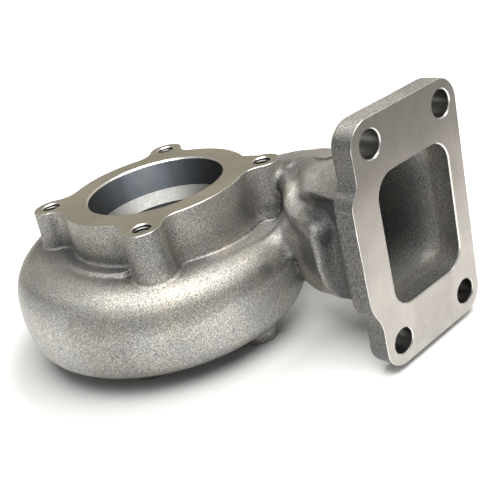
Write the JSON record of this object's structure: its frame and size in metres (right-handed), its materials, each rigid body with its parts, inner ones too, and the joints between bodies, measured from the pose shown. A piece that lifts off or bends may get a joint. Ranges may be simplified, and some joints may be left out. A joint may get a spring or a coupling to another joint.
{
  "type": "turbocharger turbine housing",
  "caption": "Cast-iron turbine housing: snail-shaped scroll, rectangular inlet flange, round lobed outlet flange and a stepped bore for the turbine wheel.",
  "frame": {"origin": "on the turbine axis, in the plane of the centre-housing face that the part stands on", "axes": "+Z along the turbine axis towards the outlet flange, +X along the inlet flange's outward normal, +Y towards the inlet neck's side of the scroll"},
  "size_m": [0.21, 0.1623, 0.106],
  "materials": {
    "casting": "shot-blasted as-cast skin with machined satin flange faces and bores"
  },
  "bodies": {
    "root": {"turbine_housing": "casting"}
  },
  "joints": []
}
